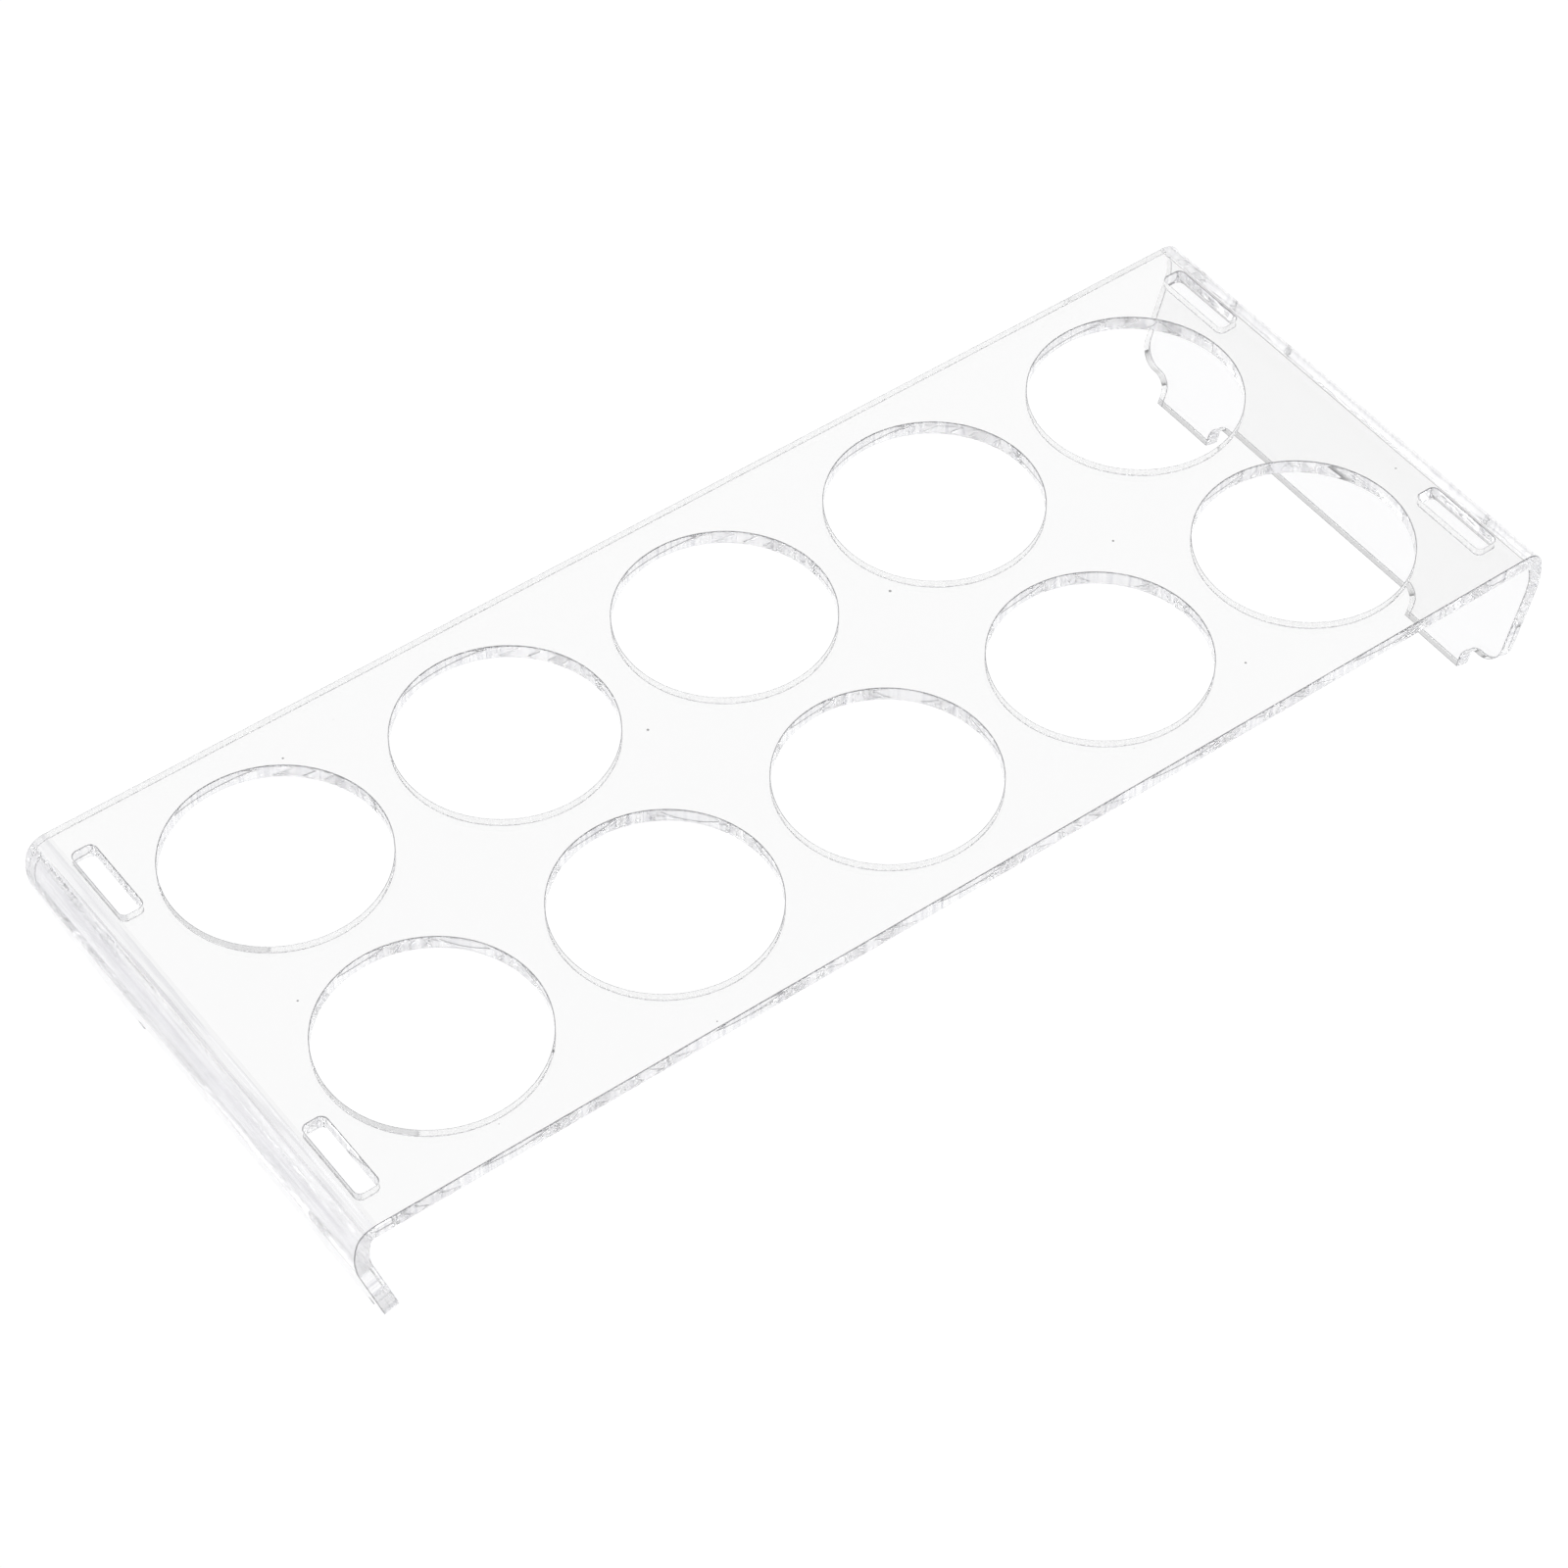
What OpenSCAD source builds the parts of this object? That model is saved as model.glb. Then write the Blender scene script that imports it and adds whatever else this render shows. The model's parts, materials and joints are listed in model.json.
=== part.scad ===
// Stackable tray with ten round holes, one clear sheet folded down at both ends.
// Origin: centre of the footprint, feet standing on z = 0, +X along the length, +Z up.

/* [Sheet] */

// Thickness of the flat sheet
sheet_t = 3; // [2.5:0.5:5]
// Length over the outside of the two bends
overall_length = 254; // [248:1:360]
// Width of the deck and of both legs
deck_width = 101.6; // [96:0.1:150]
// Height of the deck's top face above the table
deck_height = 32.5; // [24:0.5:60]

/* [Bends] */

// Inside radius of the tight upper part of a bend
bend_inner_r = 1; // [0.5:0.5:2]
// Inside radius of the slack lower part of a bend
knee_inner_r = 11; // [8:1:14]
// How far a leg leans inward for every 24 mm of its height
leg_lean_run = 7; // [5:0.5:9]

/* [Holes] */

// Diameter of each round hole
hole_d = 40; // [25:0.5:42]
// Number of holes along the length
hole_columns = 5; // [1:1:5]
// Number of holes across the width
hole_rows = 2; // [1:1:2]
// Centre distance along the length
pitch_x = 46.8; // [43:0.1:50]
// Centre distance across the width
pitch_y = 47.2; // [43:0.1:54]

/* [Feet and slots] */

// Width of each foot
foot_width = 14.5; // [8:0.5:20]
// How far a foot reaches below the leg's shoulder
foot_drop = 5.3; // [4:0.1:8]
// Distance of each foot's centre from the middle of the width
foot_offset = 35.7; // [30:0.1:38]
// Radius of the inside corner on each side of a foot
foot_fillet_r = 3; // [1:0.5:3.5]
// Gap around a foot standing in a slot, on every side
stack_clearance = 0.2; // [0.1:0.1:0.6]
// Extra slot length left at each end of a foot
slot_end_play = 1; // [0.2:0.1:1.5]
// Corner radius of a slot
slot_corner_r = 1.2; // [0.5:0.1:1.4]
// Radius of the leg's bottom outer corners
leg_corner_r = 4.5; // [2:0.1:4.8]

/* [Hidden] */

curve_fn = 96;
cut_over = 1;

// Flat steps that make up the tight and the slack part of a bend
upper_steps = 20;
knee_steps = 10;

half_length = overall_length / 2;
half_width = deck_width / 2;

// The tight part stops short of upright by the lean; the slack part turns as far beyond it
lean_rise = 24;
leg_lean_deg = atan(leg_lean_run / lean_rise);
bend_upper_deg = 90 - leg_lean_deg;

// Outside radii, arc centres and the start of the leg's outer face
upper_r = bend_inner_r + sheet_t;
knee_r = knee_inner_r + sheet_t;
upper_center_x = half_length - knee_r + (knee_r - upper_r) * sin(bend_upper_deg);
upper_center_z = deck_height - upper_r;
knee_center_x = half_length - knee_r;
knee_center_z = upper_center_z - (knee_r - upper_r) * cos(bend_upper_deg);
leg_top_x = knee_center_x + knee_r * cos(leg_lean_deg);
leg_top_z = knee_center_z - knee_r * sin(leg_lean_deg);

// Leg, measured along its outer face from the end of the bend
leg_length = leg_top_z / cos(leg_lean_deg);
shoulder_length = leg_length - foot_drop;

// A corner never starts before the fillet of the foot beside it has ended
leg_corner_room = half_width - foot_offset - foot_width / 2 - foot_fillet_r;
corner_r = min(leg_corner_r, leg_corner_room);

// A second tray's foot sinks in until its side fillets touch the rounded corners of the slot
slot_end_gap = stack_clearance + slot_end_play;
corner_reach = max(0, slot_corner_r - stack_clearance);
corner_loss = slot_corner_r - sqrt(slot_corner_r * slot_corner_r - corner_reach * corner_reach);
fillet_reach = max(0, foot_fillet_r - slot_end_gap + corner_loss);
seat_gap = foot_fillet_r - sqrt(foot_fillet_r * foot_fillet_r - fillet_reach * fillet_reach);

// Slots lie where those feet cross the middle of this deck's thickness
crossing_length = shoulder_length * cos(leg_lean_deg) + seat_gap + sheet_t / 2;
slot_x = leg_top_x - crossing_length * tan(leg_lean_deg) - sheet_t / (2 * cos(leg_lean_deg));
slot_width = sheet_t / cos(leg_lean_deg) + sheet_t * tan(leg_lean_deg) + 2 * stack_clearance;
slot_length = foot_width + 2 * slot_end_gap;

clear_acrylic = [0.93, 0.95, 0.97, 0.3];

// Rectangle centred on the origin with four rounded corners
module rounded_rectangle(size_x, size_y, corner_r) {
    square([size_x - 2 * corner_r, size_y], center = true);
    square([size_x, size_y - 2 * corner_r], center = true);
    for (side_x = [-1, 1], side_y = [-1, 1]) {
        translate([side_x * (size_x / 2 - corner_r), side_y * (size_y / 2 - corner_r)])
            circle(r = corner_r, $fn = curve_fn);
    }
}

// Points of an arc in the side view after its first, angles measured from straight up towards +X
function arc_points(center_x, center_z, r, from_deg, to_deg, steps) = [
    for (i = [1 : steps])
        let (a = from_deg + (to_deg - from_deg) * i / steps)
        [center_x + r * sin(a), center_z + r * cos(a)]
];

// One face of the sheet in the side view, from the middle of the deck to the end of a leg
function sheet_face(upper_face_r, knee_face_r) = concat(
    [[0, upper_center_z + upper_face_r], [upper_center_x, upper_center_z + upper_face_r]],
    arc_points(upper_center_x, upper_center_z, upper_face_r, 0, bend_upper_deg, upper_steps),
    arc_points(knee_center_x, knee_center_z, knee_face_r, bend_upper_deg, 90 + leg_lean_deg, knee_steps),
    [[
        knee_center_x + knee_face_r * cos(leg_lean_deg) - leg_length * sin(leg_lean_deg),
        knee_center_z - knee_face_r * sin(leg_lean_deg) - leg_length * cos(leg_lean_deg)
    ]]
);

function reversed(points) = [for (i = [len(points) - 1 : -1 : 0]) points[i]];

// Half of the bent sheet, its full width, before anything is cut from it
module half_sheet() {
    translate([0, half_width, 0])
        rotate([90, 0, 0])
            linear_extrude(height = deck_width)
                polygon(concat(
                    sheet_face(upper_r, knee_r),
                    reversed(sheet_face(bend_inner_r, knee_inner_r))
                ));
}

// Inside corner between the shoulder and one side of a foot
module foot_fillet() {
    difference() {
        square([foot_fillet_r, foot_fillet_r]);
        translate([foot_fillet_r, foot_fillet_r])
            circle(r = foot_fillet_r, $fn = curve_fn);
    }
}

// One leg laid flat: across the width, and downwards from the end of the bend past the feet
module leg_outline() {
    straight_length = shoulder_length - corner_r;
    translate([-half_width, 0])
        square([deck_width, straight_length]);
    translate([-half_width + corner_r, 0])
        square([deck_width - 2 * corner_r, shoulder_length]);
    for (side = [-1, 1]) {
        translate([side * (half_width - corner_r), straight_length])
            circle(r = corner_r, $fn = curve_fn);
        translate([side * foot_offset - foot_width / 2, 0])
            square([foot_width, leg_length + 2 * cut_over]);
        translate([side * foot_offset, shoulder_length]) {
            translate([foot_width / 2, 0])
                foot_fillet();
            mirror([1, 0])
                translate([foot_width / 2, 0])
                    foot_fillet();
        }
    }
}

// What is cut away from the lower end of one leg, to leave its shoulder and two feet
module leg_cutout() {
    translate([leg_top_x, 0, leg_top_z])
        rotate([0, leg_lean_deg, 0])
            rotate([-90, 0, 90])
                translate([0, 0, -cut_over])
                    linear_extrude(height = sheet_t + 2 * cut_over)
                        difference() {
                            translate([-half_width - cut_over, shoulder_length - corner_r])
                                square([deck_width + 2 * cut_over, foot_drop + corner_r + cut_over]);
                            leg_outline();
                        }
}

module round_holes() {
    for (column = [0 : hole_columns - 1], row = [0 : hole_rows - 1]) {
        translate([
            (column - (hole_columns - 1) / 2) * pitch_x,
            (row - (hole_rows - 1) / 2) * pitch_y,
            deck_height - sheet_t - cut_over
        ])
            cylinder(d = hole_d, h = sheet_t + 2 * cut_over, $fn = curve_fn);
    }
}

module slots() {
    for (side_x = [-1, 1], side_y = [-1, 1]) {
        translate([side_x * slot_x, side_y * foot_offset, deck_height - sheet_t - cut_over])
            linear_extrude(height = sheet_t + 2 * cut_over)
                rounded_rectangle(slot_width, slot_length, slot_corner_r);
    }
}

module tray() {
    color(clear_acrylic) {
        difference() {
            union() {
                half_sheet();
                mirror([1, 0, 0])
                    half_sheet();
            }
            leg_cutout();
            mirror([1, 0, 0])
                leg_cutout();
            round_holes();
            slots();
        }
    }
}

tray();
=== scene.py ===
import json
import math
import random

import bmesh
import bpy
from mathutils import Matrix, Vector
from mathutils.geometry import delaunay_2d_cdt


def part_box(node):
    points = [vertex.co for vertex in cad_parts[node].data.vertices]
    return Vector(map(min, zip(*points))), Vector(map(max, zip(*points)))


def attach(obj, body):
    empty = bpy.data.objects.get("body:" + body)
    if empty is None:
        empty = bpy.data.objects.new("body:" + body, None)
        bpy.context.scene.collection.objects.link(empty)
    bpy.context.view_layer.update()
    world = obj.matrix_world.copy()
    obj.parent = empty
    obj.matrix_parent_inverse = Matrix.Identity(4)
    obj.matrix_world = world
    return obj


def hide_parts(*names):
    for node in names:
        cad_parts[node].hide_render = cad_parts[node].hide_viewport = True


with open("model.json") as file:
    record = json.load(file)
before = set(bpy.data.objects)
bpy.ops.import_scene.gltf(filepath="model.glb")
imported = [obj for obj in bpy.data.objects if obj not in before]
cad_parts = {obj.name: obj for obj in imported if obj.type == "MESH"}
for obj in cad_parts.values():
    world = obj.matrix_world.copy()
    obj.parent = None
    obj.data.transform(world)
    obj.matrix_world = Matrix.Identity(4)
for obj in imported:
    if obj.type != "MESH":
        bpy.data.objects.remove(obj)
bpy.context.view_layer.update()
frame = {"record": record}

MM = 0.001

# ---------------------------------------------------------------- the sheet's own sizes
# The same values as the CAD part, in metres. Overall sizes and places come from the frame.
TRAY_LOW, TRAY_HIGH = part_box("tray")
HALF_LENGTH = (TRAY_HIGH.x - TRAY_LOW.x) / 2
HALF_WIDTH = (TRAY_HIGH.y - TRAY_LOW.y) / 2
DECK_TOP = TRAY_HIGH.z

MOUNTS = frame["record"]["mounts"]
HOLES = [mount for mount in MOUNTS if mount["kind"] == "bore"]
SLOTS = [mount for mount in MOUNTS if mount["name"].startswith("stack_slot")]

SHEET_T = HOLES[0]["dims"]["length_mm"] * MM
HALF_T = SHEET_T / 2
BEND_INNER_R = 1.0 * MM
KNEE_INNER_R = 11.0 * MM
LEG_LEAN_RUN = 7.0
LEG_LEAN_RISE = 24.0
FOOT_WIDTH = 14.5 * MM
FOOT_DROP = 5.3 * MM
FOOT_OFFSET = abs(SLOTS[0]["pos_m"][1])
FOOT_FILLET_R = 3.0 * MM
LEG_CORNER_R = 4.5 * MM
SLOT_LENGTH = 16.9 * MM
SLOT_WIDTH = 4.4 * MM
SLOT_CORNER_R = 1.2 * MM

# A bend has a tight upper part and a slack lower part, the knee
LEAN = math.atan2(LEG_LEAN_RUN, LEG_LEAN_RISE)
UPPER_TURN = math.pi / 2 - LEAN
KNEE_TURN = 2 * LEAN
UPPER_MID_R = BEND_INNER_R + HALF_T
KNEE_MID_R = KNEE_INNER_R + HALF_T
KNEE_CENTER_X = HALF_LENGTH - KNEE_MID_R - HALF_T
UPPER_CENTER_X = KNEE_CENTER_X + (KNEE_MID_R - UPPER_MID_R) * math.sin(UPPER_TURN)
UPPER_CENTER_Z = DECK_TOP - HALF_T - UPPER_MID_R
KNEE_CENTER_Z = UPPER_CENTER_Z - (KNEE_MID_R - UPPER_MID_R) * math.cos(UPPER_TURN)
LEG_TOP_Z = KNEE_CENTER_Z - (KNEE_MID_R + HALF_T) * math.sin(LEAN)
LEG_LENGTH = LEG_TOP_Z / math.cos(LEAN)

# Distances along the middle of the sheet, from the middle of the deck
S_DECK = UPPER_CENTER_X
S_KNEE = S_DECK + UPPER_MID_R * UPPER_TURN
S_LEG = S_KNEE + KNEE_MID_R * KNEE_TURN
S_SHOULDER = S_LEG + LEG_LENGTH - FOOT_DROP
S_FOOT = S_LEG + LEG_LENGTH

# ---------------------------------------------------------------- fineness of the mesh
# Cut walls: radius and steps of their rounded rims, and the steps between the rims
RIM_R = 0.16 * MM
RIM_STEPS = 3
WALL_STEPS = 6
# Spacing of the points along an outline
EDGE_STEP = 0.35 * MM
MIN_ARC_STEPS = 6
# Bends: strips down each of their two parts, and spacing of the points across the sheet
UPPER_STRIPS = 18
KNEE_STRIPS = 22
BEND_ROW = 1.6 * MM
# Points closer than this are one, and a corner's offset grows to 1 / MITRE_LIMIT at the most
SAME_POINT = 1e-9
MITRE_LIMIT = 0.5
SHARP_ANGLE = math.radians(40)
# What delaunay_2d_cdt returns (only what lies within the outer outline), and its tolerance
CDT_INSIDE = 1
CDT_TOLERANCE = 1e-6

# ---------------------------------------------------------------- relief of the surfaces
CUT_SEED = 11
BEND_SEED = 23

# Shallow waves in the cut walls, each with its length and weight
CUT_RELIEF = 0.008 * MM
CUT_WAVES = ((3.3 * MM, 1.0), (1.5 * MM, 0.3), (9.0 * MM, 0.9))
CUT_DEEPEST = sum(weight for _, weight in CUT_WAVES)
# Their depth at the top of the cut as a share of that at the bottom, and how far they trail there
CUT_TOP_SHARE = 0.55
CUT_DRAG = 0.45 * MM
# How far apart the patterns of two outlines lie, in the waves and in the material's lines
WAVE_SHIFT = 37.0
LINE_SHIFT = 500 * MM

# Ripples that thin the bends: size along and across, shift along and across, weight
BEND_RIPPLE = 0.035 * MM
RIPPLE_LAYERS = (
    (0.75 * MM, 16 * MM, 40, 7, 1.0),
    (1.9 * MM, 38 * MM, -30, -3, 0.7),
)
RIPPLE_MEAN = 0.6
RIPPLE_SWING = 0.5
RIPPLE_FADE_AT_DECK = 1.2 * MM
RIPPLE_FADE_AT_LEG = 2.5 * MM
# How far the heat of a bend has marked the deck beside it; on the left this strip also takes the left
# bend's painted shade bands
HEATED = 0.6 * MM


def mix(low, high, share):
    return low * (1 - share) + high * share


def eased(share):
    return share * share * (3 - 2 * share)


class Noise:
    """Seeded noise from -1 to 1."""

    TABLE_SIZE = 1024
    STRIDES = (131, 577)
    START = 89

    def __init__(self, seed):
        draw = random.Random(seed)
        self.table = [draw.uniform(-1, 1) for _ in range(self.TABLE_SIZE)]

    def at(self, i, j=0):
        return self.table[(i * self.STRIDES[0] + j * self.STRIDES[1] + self.START) % self.TABLE_SIZE]

    def facets(self, x):
        """Noise of one number, in straight pieces with a kink between them."""
        i = math.floor(x)
        return mix(self.at(i), self.at(i + 1), x - i)

    def plane(self, x, y):
        """Smooth noise of two numbers."""
        i, j = math.floor(x), math.floor(y)
        share = eased(x - i)
        low = mix(self.at(i, j), self.at(i + 1, j), share)
        high = mix(self.at(i, j + 1), self.at(i + 1, j + 1), share)
        return mix(low, high, eased(y - j))


cut_noise = Noise(CUT_SEED)
bend_noise = Noise(BEND_SEED)


# ---------------------------------------------------------------- folding the flat sheet
def bend_thinning(a, y, side):
    """How much thinner a bend is at a point than the sheet, as a share of its thickness."""
    fade = min(1.0, (a - S_DECK) / RIPPLE_FADE_AT_DECK, (S_LEG - a) / RIPPLE_FADE_AT_LEG)
    ripple = 0.0
    for size_s, size_y, shift_s, shift_y, weight in RIPPLE_LAYERS:
        ripple += weight * bend_noise.plane(a / size_s + shift_s * side, y / size_y + shift_y * side)
    return BEND_RIPPLE / HALF_T * fade * (RIPPLE_MEAN + RIPPLE_SWING * ripple)


def place(s, y, t):
    """A point of the flat sheet, folded: s along the length, y across, t through the thickness."""
    side = 1 if s >= 0 else -1
    a = abs(s)
    if a <= S_DECK:
        return Vector((s, y, DECK_TOP - HALF_T + t))
    if a <= S_LEG:
        t = t * (1 - bend_thinning(a, y, side))
    if a <= S_KNEE:
        turn = (a - S_DECK) / UPPER_MID_R
        r = UPPER_MID_R + t
        x = UPPER_CENTER_X + r * math.sin(turn)
        z = UPPER_CENTER_Z + r * math.cos(turn)
    elif a <= S_LEG:
        turn = UPPER_TURN + (a - S_KNEE) / KNEE_MID_R
        r = KNEE_MID_R + t
        x = KNEE_CENTER_X + r * math.sin(turn)
        z = KNEE_CENTER_Z + r * math.cos(turn)
    else:
        down = a - S_LEG
        r = KNEE_MID_R + t
        x = KNEE_CENTER_X + r * math.cos(LEAN) - down * math.sin(LEAN)
        z = KNEE_CENTER_Z - r * math.sin(LEAN) - down * math.cos(LEAN)
    return Vector((side * x, y, z))


# ---------------------------------------------------------------- outlines on the flat sheet
def arc(center, r, from_deg, to_deg):
    """Points (s, y) of an arc, ends included."""
    length = abs(math.radians(to_deg - from_deg)) * r
    count = max(MIN_ARC_STEPS, math.ceil(length / EDGE_STEP))
    points = []
    for i in range(count + 1):
        a = math.radians(from_deg + (to_deg - from_deg) * i / count)
        points.append((center[0] + r * math.cos(a), center[1] + r * math.sin(a)))
    return points


def straight(start, end):
    """Points of a straight run, without its ends."""
    count = max(1, math.ceil(math.dist(start, end) / EDGE_STEP))
    return [
        (start[0] + (end[0] - start[0]) * i / count, start[1] + (end[1] - start[1]) * i / count)
        for i in range(1, count)
    ]


def joined(runs):
    """Runs of corner points joined by straight runs into one closed outline."""
    outline = []
    for i, run in enumerate(runs):
        outline += run
        after = runs[(i + 1) % len(runs)][0]
        if math.dist(run[-1], after) > SAME_POINT:
            outline += straight(run[-1], after)
        else:
            outline.pop()
    return outline


def bend_lines():
    """Where the strips of the right-hand bend meet, from the heated end of the deck to the leg."""
    upper = [S_DECK + (S_KNEE - S_DECK) * i / UPPER_STRIPS for i in range(UPPER_STRIPS + 1)]
    knee = [S_KNEE + (S_LEG - S_KNEE) * i / KNEE_STRIPS for i in range(1, KNEE_STRIPS + 1)]
    return [S_DECK - HEATED] + upper + knee


def leg_end():
    """Corner points of the right-hand end, from its front corner to its back corner."""
    corner_s = S_SHOULDER - LEG_CORNER_R
    corner_y = HALF_WIDTH - LEG_CORNER_R
    fillet_s = S_SHOULDER + FOOT_FILLET_R
    runs = [arc((corner_s, -corner_y), LEG_CORNER_R, -90, 0)]
    for side in (-1, 1):
        low = side * FOOT_OFFSET - FOOT_WIDTH / 2
        high = side * FOOT_OFFSET + FOOT_WIDTH / 2
        runs.append(arc((fillet_s, low - FOOT_FILLET_R), FOOT_FILLET_R, 180, 90))
        runs += [[(S_FOOT, low)], [(S_FOOT, high)]]
        runs.append(arc((fillet_s, high + FOOT_FILLET_R), FOOT_FILLET_R, 270, 180))
    runs.append(arc((corner_s, corner_y), LEG_CORNER_R, 0, 90))
    return runs


def outer_outline():
    """The whole outline of the flat sheet, anticlockwise seen from above."""
    end = leg_end()
    lines = bend_lines()
    runs = end + [[(s, HALF_WIDTH)] for s in reversed(lines)]
    runs += [[(-s, HALF_WIDTH)] for s in lines]
    runs += [[(-s, y) for s, y in reversed(run)] for run in reversed(end)]
    runs += [[(-s, -HALF_WIDTH)] for s in reversed(lines)]
    runs += [[(s, -HALF_WIDTH)] for s in lines]
    return joined(runs)


def hole_outline(mount):
    """A round hole, clockwise, so that the material is always on the left."""
    x, y, _ = mount["pos_m"]
    points = arc((x, y), mount["dims"]["r_mm"] * MM, 360, 0)
    return points[:-1]


def slot_outline(mount):
    """A stacking slot with four rounded corners, clockwise."""
    x, y, _ = mount["pos_m"]
    dx = SLOT_WIDTH / 2 - SLOT_CORNER_R
    dy = SLOT_LENGTH / 2 - SLOT_CORNER_R
    corners = ((-dx, dy, 180), (dx, dy, 90), (dx, -dy, 0), (-dx, -dy, -90))
    return joined([arc((x + cx, y + cy), SLOT_CORNER_R, a, a - 90) for cx, cy, a in corners])


def inward(outline):
    """At each point of an outline, the step into the material that keeps a straight offset."""
    steps = []
    for i, (x, y) in enumerate(outline):
        before_x, before_y = outline[i - 1]
        after_x, after_y = outline[(i + 1) % len(outline)]
        normal_before = Vector((-(y - before_y), x - before_x)).normalized()
        normal_after = Vector((-(after_y - y), after_x - x)).normalized()
        middle = (normal_before + normal_after).normalized()
        steps.append(middle / max(MITRE_LIMIT, middle.dot(normal_before)))
    return steps


# ---------------------------------------------------------------- the mesh
# Parts of the surface, each with its own material slot
FLAT, CUT, BEND, TOP_RIM, LOW_RIM, LEG, CLEAR_BEND, SHADED_LEG = range(8)
# The outer outline's number; the openings are numbered from 1
OUTER = 0


def wall_rows():
    """How far in from the outline, and how high in the thickness, each row of a cut wall lies."""
    rows = []
    for k in range(RIM_STEPS + 1):
        a = math.pi / 2 * k / RIM_STEPS
        rows.append((RIM_R * (1 - math.sin(a)), HALF_T - RIM_R * (1 - math.cos(a))))
    for k in range(1, WALL_STEPS):
        rows.append((0.0, (HALF_T - RIM_R) * (1 - 2 * k / WALL_STEPS)))
    return rows + [(inset, -t) for inset, t in reversed(rows[: RIM_STEPS + 1])]


def relief(u, t, number):
    """How deep the cut wall lies below its nominal face, u along the cut."""
    depth = (HALF_T - t) / SHEET_T
    drag = CUT_DRAG * depth * depth
    waves = 0.0
    for length, weight in CUT_WAVES:
        waves += weight * cut_noise.facets((u + drag) / length + WAVE_SHIFT * number)
    return CUT_RELIEF * (CUT_DEEPEST + waves) * mix(CUT_TOP_SHARE, 1.0, depth)


def wall_part(k, count):
    """Which part the k-th of a wall's rows of faces is."""
    if k < RIM_STEPS:
        return TOP_RIM
    if k >= count - RIM_STEPS:
        return LOW_RIM
    return CUT


def face_part(s):
    """Which part of the sheet's faces a point lies on, by its distance along the sheet."""
    if abs(s) < S_DECK - HEATED:
        return FLAT
    if abs(s) > S_LEG:
        # The left leg takes the darker tint of painted shade
        return SHADED_LEG if s < 0 else LEG
    return BEND if s < 0 else CLEAR_BEND


def rounded(s, y):
    """A flat point in millimetres, rounded so that it can be looked up."""
    return round(s / MM, 4), round(y / MM, 4)


class Sheet:
    """The sheet as it is built: its mesh, and the flat points that its faces are laid out on."""

    def __init__(self):
        self.bm = bmesh.new()
        self.cut_distance = self.bm.verts.layers.float.new("cut_distance")
        self.points = []
        self.edges = []
        self.outline_of = []
        self.top = []
        self.bottom = []

    def add_point(self, point, number, top, bottom):
        """Adds a point of the flat sheet with its vertex on each face, and returns its index."""
        self.points.append(point)
        self.outline_of.append(number)
        self.top.append(top)
        self.bottom.append(bottom)
        return len(self.points) - 1

    def add_wall(self, outline, number):
        """Adds the cut wall along an outline with its two rounded rims."""
        rows = wall_rows()
        count = len(rows) - 1
        columns, indices = [], []
        u = 0.0
        for i, ((s, y), step) in enumerate(zip(outline, inward(outline))):
            if i:
                u += math.dist(outline[i - 1], outline[i])
            spots = []
            for inset, t in rows:
                d = inset + relief(u, t, number)
                spots.append((s + step.x * d, y + step.y * d, t))
            column = [self.bm.verts.new(place(*spot)) for spot in spots]
            for vert in column:
                vert[self.cut_distance] = (u + LINE_SHIFT * number) / MM
            columns.append(column)
            indices.append(self.add_point(spots[0][:2], number, column[0], column[-1]))
        for i, column in enumerate(columns):
            after = (i + 1) % len(columns)
            beside = columns[after]
            self.edges.append((indices[i], indices[after]))
            for k in range(count):
                face = self.bm.faces.new((column[k], column[k + 1], beside[k + 1], beside[k]))
                face.material_index = wall_part(k, count)
                face.smooth = True
        return indices

    def add_bend_rows(self, outline, indices):
        """Adds a row of points across the sheet on each line of the bends."""
        index_at = {rounded(s, y): index for (s, y), index in zip(outline, indices)}
        count = int(2 * HALF_WIDTH / BEND_ROW)
        for s in [side * line for side in (-1, 1) for line in bend_lines()]:
            before = index_at[rounded(s, -HALF_WIDTH)]
            for k in range(1, count):
                y = -HALF_WIDTH + 2 * HALF_WIDTH * k / count
                top = self.bm.verts.new(place(s, y, HALF_T))
                bottom = self.bm.verts.new(place(s, y, -HALF_T))
                index = self.add_point((s, y), OUTER, top, bottom)
                self.edges.append((before, index))
                before = index
            self.edges.append((before, index_at[rounded(s, HALF_WIDTH)]))

    def add_faces(self):
        """Adds the top and bottom faces, laid out in triangles on the flat sheet."""
        flat, _, triangles, origins, _, _ = delaunay_2d_cdt(
            [Vector(point) / MM for point in self.points], self.edges, [], CDT_INSIDE, CDT_TOLERANCE
        )
        for triangle in triangles:
            picks = [origins[i][0] for i in triangle]
            # The openings are convex, so a triangle with all its corners on one of them lies inside it
            outlines = {self.outline_of[i] for i in picks}
            if len(outlines) == 1 and OUTER not in outlines:
                continue
            center = sum((flat[i] for i in triangle), Vector((0, 0))) / 3 * MM
            for verts, order in ((self.top, picks), (self.bottom, picks[::-1])):
                face = self.bm.faces.new([verts[i] for i in order])
                face.material_index = face_part(center.x)
                face.smooth = S_DECK < abs(center.x) < S_LEG

    def mark_sharp_edges(self):
        self.bm.normal_update()
        for edge in self.bm.edges:
            on_wall = {face.material_index in (CUT, TOP_RIM, LOW_RIM) for face in edge.link_faces}
            if len(on_wall) > 1 or edge.calc_face_angle(0.0) > SHARP_ANGLE:
                edge.smooth = False


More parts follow.
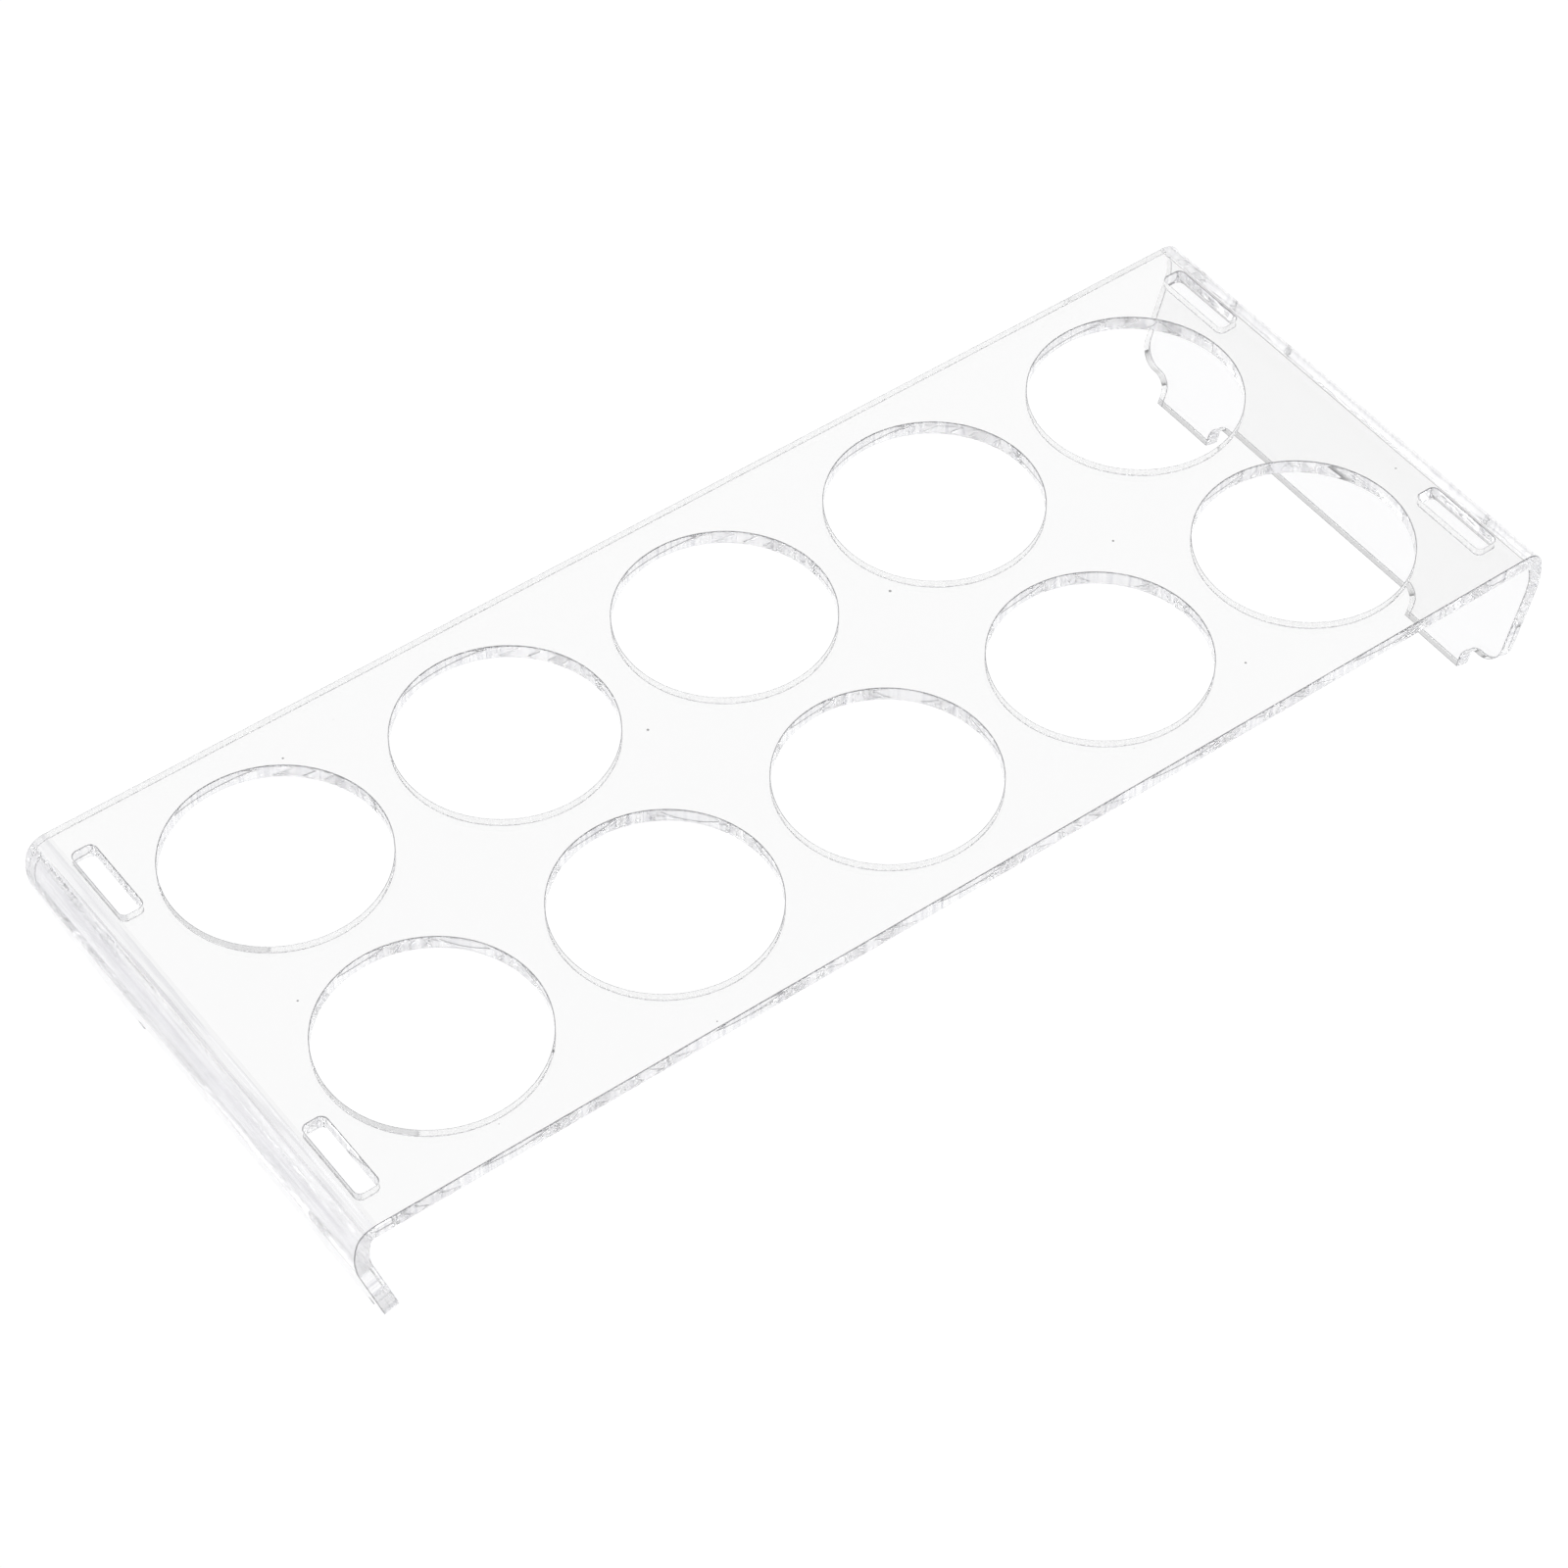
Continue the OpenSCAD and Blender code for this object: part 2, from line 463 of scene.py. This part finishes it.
def build_sheet():
    """The whole sheet, folded and closed: its walls first, and then the faces between them."""
    sheet = Sheet()
    outer = outer_outline()
    outer_indices = sheet.add_wall(outer, OUTER)
    openings = [hole_outline(mount) for mount in HOLES] + [slot_outline(mount) for mount in SLOTS]
    for number, outline in enumerate(openings, start=1):
        sheet.add_wall(outline, number)
    sheet.add_bend_rows(outer, outer_indices)
    sheet.add_faces()
    sheet.mark_sharp_edges()
    return sheet.bm


def new_object(name, data):
    new = bpy.data.objects.new(name, data)
    bpy.context.scene.collection.objects.link(new)
    return new


bm = build_sheet()
mesh = bpy.data.meshes.new("clear_tray")
bm.to_mesh(mesh)
bm.free()
tray = new_object("clear_tray", mesh)


# ---------------------------------------------------------------- materials
ACRYLIC_IOR = 1.49
FACE_TINT = (0.942, 0.942, 0.937)
CLEAR_BEND_TINT = (0.94, 0.94, 0.94)
LEG_TINT = (0.95, 0.95, 0.95)
# The left leg's darker tint is painted shade, which makes it greyer than the right leg
SHADED_LEG_TINT = (0.76, 0.76, 0.765)

# Polished faces: size and depth of their waves, and smears that make them a little rough
FACE_WAVES = (30 * MM, 0.02 * MM)
BEND_WAVES = (3 * MM, 0.012 * MM)
LEG_WAVES = (20 * MM, 0.02 * MM)
SMEAR_SCALE = 60.0
SMEAR_NOISE = (0.5, 0.8)
SMEAR_ROUGHNESS = (0.0, 0.03)

# Specks of dust, in cells of which only a share holds one
SPECK_TINT = (0.15, 0.15, 0.15)
SPECK_R = 0.28 * MM
SPECK_SCALE = 75.0
SPECK_SHARE = 0.25

# Tints of painted shade and highlight down the round of the left bend, by depth below the deck's top as
# a share of BAND_DEPTH
BAND_DEPTH = 4 * MM
BEND_SHADE_BANDS = (
    (0.0, (0.86, 0.86, 0.86)),
    (0.09, (0.88, 0.88, 0.88)),
    (0.14, (1.0, 1.0, 1.0)),
    (0.34, (0.99, 0.99, 0.99)),
    (0.42, (0.95, 0.95, 0.95)),
    (0.60, (0.91, 0.91, 0.92)),
)
# Fine streaks along the left bend: painted shade and highlight
STREAK_SIZE = 0.7 * MM
STREAK_STRETCH = (1, 0.04, 1)
STREAK_COLOURS = ((0.42, (0.80, 0.80, 0.815)), (0.56, (1.0, 1.0, 1.0)))
STREAK_DEPTHS = (0.3, 0.5)

# Cut edges: fine lines for the laser's striations and broader blocks of painted reflection along the
# cut, their scales per millimetre of it
LINE_SCALE = 1.3
LINE_NOISE = (0.47, 0.53)
LINE_LIGHT = 0.45
BLOCK_SCALE = 0.22
# The blocks' steps are painted reflection; the whitest are painted glints
BLOCK_LIGHT = ((0.0, 0.5), (0.36, 1.0), (0.44, 0.35), (0.50, 1.0), (0.58, 0.6))
# Up to this light a cut edge has its dark colour; from 1 on it has its light one
DARK_LIGHT = 0.1
# The cut's colours run to white from a grey that is partly the cut's frost and partly painted reflection
CUT_COLOURS = ((0.62, 0.62, 0.665), (1.0, 1.0, 1.0))
# The rims' dark colours are painted shade: the dark lines along the rounded rims of each cut
TOP_RIM_SHADES = ((0.06, 0.06, 0.065), (0.22, 0.22, 0.23))
LOW_RIM_SHADES = ((0.14, 0.14, 0.15), (0.50, 0.50, 0.51))
CUT_TRANSMISSION = 0.90
CUT_ROUGHNESS = 0.02
RIM_TRANSMISSION = 0.95


def new_material(name):
    material = bpy.data.materials.new(name)
    material.use_nodes = True
    nodes, links = material.node_tree.nodes, material.node_tree.links
    return material, nodes, links, nodes["Principled BSDF"]


def add(nodes, kind, **values):
    """Adds a node; each value goes to the input of that name, or else to the node's own setting."""
    node = nodes.new(kind)
    for key, value in values.items():
        if key in node.inputs:
            node.inputs[key].default_value = value
        else:
            setattr(node, key, value)
    return node


def add_range(nodes, from_range, to_range=(0.0, 1.0)):
    node = add(nodes, "ShaderNodeMapRange")
    node.inputs["From Min"].default_value = from_range[0]
    node.inputs["From Max"].default_value = from_range[1]
    node.inputs["To Min"].default_value = to_range[0]
    node.inputs["To Max"].default_value = to_range[1]
    return node


def add_ramp(nodes, stops, interpolation="LINEAR"):
    node = add(nodes, "ShaderNodeValToRGB")
    node.color_ramp.interpolation = interpolation
    elements = node.color_ramp.elements
    while len(elements) < len(stops):
        elements.new(0.5)
    for element, (position, color) in zip(elements, stops):
        element.position = position
        element.color = (*color, 1)
    return node


def acrylic(name, tint, transmission=1.0, roughness=0.0):
    """Clear plastic, with the tint that it gives to what shows through."""
    material, nodes, links, shader = new_material(name)
    shader.inputs["Base Color"].default_value = (*tint, 1)
    shader.inputs["Transmission Weight"].default_value = transmission
    shader.inputs["IOR"].default_value = ACRYLIC_IOR
    shader.inputs["Roughness"].default_value = roughness
    return material, nodes, links, shader


def striated(name, dark, light, transmission, roughness=0.0):
    """A laser-cut edge, in tint only: fine lines for its striations, and broader blocks of painted
    reflection across the cut.
    """
    material, nodes, links, shader = acrylic(name, light, transmission, roughness)
    distance = add(nodes, "ShaderNodeAttribute", attribute_name="cut_distance")
    fine = add(
        nodes, "ShaderNodeTexNoise", noise_dimensions="1D", Scale=LINE_SCALE, Detail=2.0, Roughness=0.7
    )
    broad = add(
        nodes, "ShaderNodeTexNoise", noise_dimensions="1D", Scale=BLOCK_SCALE, Detail=1.0, Roughness=0.5
    )
    blocks = add_ramp(nodes, [(at, (light_at,) * 3) for at, light_at in BLOCK_LIGHT], "CONSTANT")
    lines = add_range(nodes, LINE_NOISE)
    both = add(nodes, "ShaderNodeMath", operation="MULTIPLY_ADD")
    both.inputs[1].default_value = LINE_LIGHT
    colours = add_ramp(nodes, ((DARK_LIGHT, dark), (1.0, light)))
    links.new(distance.outputs["Fac"], fine.inputs["W"])
    links.new(distance.outputs["Fac"], broad.inputs["W"])
    links.new(broad.outputs["Fac"], blocks.inputs["Fac"])
    links.new(fine.outputs["Fac"], lines.inputs["Value"])
    links.new(lines.outputs["Result"], both.inputs[0])
    links.new(blocks.outputs["Color"], both.inputs[2])
    links.new(both.outputs["Value"], colours.inputs["Fac"])
    links.new(colours.outputs["Color"], shader.inputs["Base Color"])
    return material


def polished(name, tint, wave_size, wave_depth):
    """A polished face with faint waves and smears."""
    material, nodes, links, shader = acrylic(name, tint)
    coordinates = add(nodes, "ShaderNodeTexCoord")
    waves = add(nodes, "ShaderNodeTexNoise", Scale=1 / wave_size, Detail=1.0)
    smears = add(nodes, "ShaderNodeTexNoise", Scale=SMEAR_SCALE, Detail=4.0, Roughness=0.6)
    smear_range = add_range(nodes, SMEAR_NOISE, SMEAR_ROUGHNESS)
    bump = add(nodes, "ShaderNodeBump", Strength=1.0, Distance=wave_depth)
    links.new(coordinates.outputs["Object"], waves.inputs["Vector"])
    links.new(coordinates.outputs["Object"], smears.inputs["Vector"])
    links.new(waves.outputs["Fac"], bump.inputs["Height"])
    links.new(bump.outputs["Normal"], shader.inputs["Normal"])
    links.new(smears.outputs["Fac"], smear_range.inputs["Value"])
    links.new(smear_range.outputs["Result"], shader.inputs["Roughness"])
    return material


def add_specks(material, tint):
    """A few specks of dust, on the deck's top face only."""
    nodes, links = material.node_tree.nodes, material.node_tree.links
    coordinates = add(nodes, "ShaderNodeTexCoord")
    cells = add(nodes, "ShaderNodeTexVoronoi", voronoi_dimensions="2D", Scale=SPECK_SCALE)
    chance = add(nodes, "ShaderNodeSeparateColor")
    size = add(nodes, "ShaderNodeMath", operation="MULTIPLY_ADD")
    size.inputs[1].default_value = SPECK_R * SPECK_SCALE / SPECK_SHARE
    size.inputs[2].default_value = -SPECK_R * SPECK_SCALE * (1 - SPECK_SHARE) / SPECK_SHARE
    inside = add(nodes, "ShaderNodeMath", operation="LESS_THAN")
    height = add(nodes, "ShaderNodeSeparateXYZ")
    on_top = add(nodes, "ShaderNodeMath", operation="GREATER_THAN")
    on_top.inputs[1].default_value = DECK_TOP - HALF_T
    both = add(nodes, "ShaderNodeMath", operation="MULTIPLY")
    colours = add(nodes, "ShaderNodeMix", data_type="RGBA")
    colours.inputs["A"].default_value = (*tint, 1)
    colours.inputs["B"].default_value = (*SPECK_TINT, 1)
    links.new(coordinates.outputs["Object"], cells.inputs["Vector"])
    links.new(cells.outputs["Color"], chance.inputs["Color"])
    links.new(chance.outputs["Red"], size.inputs[0])
    links.new(cells.outputs["Distance"], inside.inputs[0])
    links.new(size.outputs["Value"], inside.inputs[1])
    links.new(coordinates.outputs["Object"], height.inputs["Vector"])
    links.new(height.outputs["Z"], on_top.inputs[0])
    links.new(inside.outputs["Value"], both.inputs[0])
    links.new(on_top.outputs["Value"], both.inputs[1])
    links.new(both.outputs["Value"], colours.inputs["Factor"])
    links.new(colours.outputs["Result"], nodes["Principled BSDF"].inputs["Base Color"])


def add_painted_streaks(material):
    """Painted shade and highlights on a bend: bands down its round, and fine streaks that run along it.
    """
    nodes, links = material.node_tree.nodes, material.node_tree.links
    coordinates = add(nodes, "ShaderNodeTexCoord")
    height = add(nodes, "ShaderNodeSeparateXYZ")
    depth = add_range(nodes, (DECK_TOP, DECK_TOP - BAND_DEPTH))
    bands = add_ramp(nodes, BEND_SHADE_BANDS)
    stretch = add(nodes, "ShaderNodeMapping", Scale=STREAK_STRETCH)
    streaks = add(nodes, "ShaderNodeTexNoise", Scale=1 / STREAK_SIZE, Detail=2.0)
    streak_colours = add_ramp(nodes, STREAK_COLOURS)
    strength = add_range(nodes, STREAK_DEPTHS)
    product = add(nodes, "ShaderNodeMix", data_type="RGBA", blend_type="MULTIPLY")
    links.new(coordinates.outputs["Object"], height.inputs["Vector"])
    links.new(height.outputs["Z"], depth.inputs["Value"])
    links.new(depth.outputs["Result"], bands.inputs["Fac"])
    links.new(depth.outputs["Result"], strength.inputs["Value"])
    links.new(coordinates.outputs["Object"], stretch.inputs["Vector"])
    links.new(stretch.outputs["Vector"], streaks.inputs["Vector"])
    links.new(streaks.outputs["Fac"], streak_colours.inputs["Fac"])
    links.new(strength.outputs["Result"], product.inputs["Factor"])
    links.new(bands.outputs["Color"], product.inputs["A"])
    links.new(streak_colours.outputs["Color"], product.inputs["B"])
    links.new(product.outputs["Result"], nodes["Principled BSDF"].inputs["Base Color"])


materials = {
    FLAT: polished("acrylic_face", FACE_TINT, *FACE_WAVES),
    BEND: polished("acrylic_shaded_bend", CLEAR_BEND_TINT, *BEND_WAVES),
    CLEAR_BEND: polished("acrylic_clear_bend", CLEAR_BEND_TINT, *BEND_WAVES),
    LEG: polished("acrylic_leg", LEG_TINT, *LEG_WAVES),
    SHADED_LEG: polished("acrylic_shaded_leg", SHADED_LEG_TINT, *LEG_WAVES),
    CUT: striated("acrylic_cut_edge", *CUT_COLOURS, CUT_TRANSMISSION, CUT_ROUGHNESS),
    TOP_RIM: striated("acrylic_top_rim", *TOP_RIM_SHADES, RIM_TRANSMISSION),
    LOW_RIM: striated("acrylic_low_rim", *LOW_RIM_SHADES, RIM_TRANSMISSION),
}
add_specks(materials[FLAT], FACE_TINT)
# The left bend gets painted shade and highlights
add_painted_streaks(materials[BEND])
for part in sorted(materials):
    tray.data.materials.append(materials[part])

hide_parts("tray")
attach(tray, "root")
tray.visible_shadow = False
tray.visible_diffuse = False

# ---------------------------------------------------------------- floor, light, camera
FLOOR_HALF = 4.0
FLOOR_COLOUR = (0.9, 0.9, 0.9)
FLOOR_ROUGHNESS = 0.9

# The sky's colours from the horizon up; the side behind the camera is left darker
SKY = (
    (0.0, (0.20, 0.20, 0.20)),
    (0.10, (0.22, 0.22, 0.22)),
    (0.22, (0.60, 0.60, 0.60)),
    (0.55, (0.90, 0.90, 0.905)),
    (0.80, (0.95, 0.95, 0.955)),
    (1.0, (0.95, 0.95, 0.95)),
)
DARK_SIDE = (-0.6, -0.8, 0.0)
DARK_SIDE_COLOUR = (0.80, 0.80, 0.82)
DARK_SIDE_RANGE = (0.15, 0.8)

# Azimuth 0 is in front of the tray and 90 on its right, in degrees
LAMP_AZIMUTH = 150
LAMP_ELEVATION = 80
LAMP_DISTANCE = 2.2
LAMP_SIZE = 1.6
LAMP_POWER = 15.6

# The photo's viewpoint, found by fitting a camera to its ten holes
CAMERA_AT = Vector((-0.334514, -0.442262, 0.641109))
CAMERA_AZIMUTH = -36.733
CAMERA_ELEVATION = 48.767
CAMERA_ROLL = math.radians(0.126)
CAMERA_LENS = 108.985
SENSOR_WIDTH = 36.0

# Light passes many faces on its way through the sheet
LIGHT_BOUNCES = 64


def toward(azimuth, elevation):
    """Unit vector from the tray to something that stands there."""
    a, e = math.radians(azimuth), math.radians(elevation)
    return Vector((math.sin(a) * math.cos(e), -math.cos(a) * math.cos(e), math.sin(e)))


def build_floor():
    floor_mesh = bpy.data.meshes.new("floor")
    corners = [(-1, -1), (1, -1), (1, 1), (-1, 1)]
    floor_mesh.from_pydata([(x * FLOOR_HALF, y * FLOOR_HALF, 0) for x, y in corners], [], [(0, 1, 2, 3)])
    material, _, _, shader = new_material("floor_white")
    shader.inputs["Base Color"].default_value = (*FLOOR_COLOUR, 1)
    shader.inputs["Roughness"].default_value = FLOOR_ROUGHNESS
    shader.inputs["Specular IOR Level"].default_value = 0.0
    floor_mesh.materials.append(material)
    return new_object("floor", floor_mesh)


def build_studio():
    """A pale sky that is dark at the horizon and dimmed on one side."""
    world = bpy.data.worlds.new("studio")
    world.use_nodes = True
    nodes, links = world.node_tree.nodes, world.node_tree.links
    direction = add(nodes, "ShaderNodeTexCoord")
    height = add(nodes, "ShaderNodeSeparateXYZ")
    sky = add_ramp(nodes, SKY)
    toward_side = add(nodes, "ShaderNodeVectorMath", operation="DOT_PRODUCT")
    toward_side.inputs[1].default_value = DARK_SIDE
    side_range = add_range(nodes, DARK_SIDE_RANGE)
    dimmed = add(nodes, "ShaderNodeMix", data_type="RGBA")
    dimmed.inputs["B"].default_value = (*DARK_SIDE_COLOUR, 1)
    links.new(direction.outputs["Generated"], height.inputs["Vector"])
    links.new(height.outputs["Z"], sky.inputs["Fac"])
    links.new(direction.outputs["Generated"], toward_side.inputs[0])
    links.new(toward_side.outputs["Value"], side_range.inputs["Value"])
    links.new(side_range.outputs["Result"], dimmed.inputs["Factor"])
    links.new(sky.outputs["Color"], dimmed.inputs["A"])
    links.new(dimmed.outputs["Result"], nodes["Background"].inputs["Color"])
    return world


def build_lamp():
    """A large square soft box overhead."""
    light = bpy.data.lights.new("overhead", "AREA")
    light.size = LAMP_SIZE
    light.energy = LAMP_POWER
    lamp = new_object("overhead", light)
    back = toward(LAMP_AZIMUTH, LAMP_ELEVATION)
    lamp.location = back * LAMP_DISTANCE
    lamp.rotation_euler = back.to_track_quat("Z", "Y").to_euler()


def build_camera():
    camera_data = bpy.data.cameras.new("camera")
    camera_data.lens = CAMERA_LENS
    camera_data.sensor_width = SENSOR_WIDTH
    camera = new_object("camera", camera_data)
    turn = toward(CAMERA_AZIMUTH, CAMERA_ELEVATION).to_track_quat("Z", "Y").to_matrix().to_4x4()
    camera.matrix_world = Matrix.Translation(CAMERA_AT) @ turn @ Matrix.Rotation(CAMERA_ROLL, 4, "Z")
    return camera


floor = build_floor()
build_lamp()

scene = bpy.context.scene
scene.world = build_studio()
scene.camera = build_camera()
scene.view_settings.view_transform = "Standard"
scene.cycles.max_bounces = LIGHT_BOUNCES
scene.cycles.glossy_bounces = LIGHT_BOUNCES
scene.cycles.transmission_bounces = LIGHT_BOUNCES
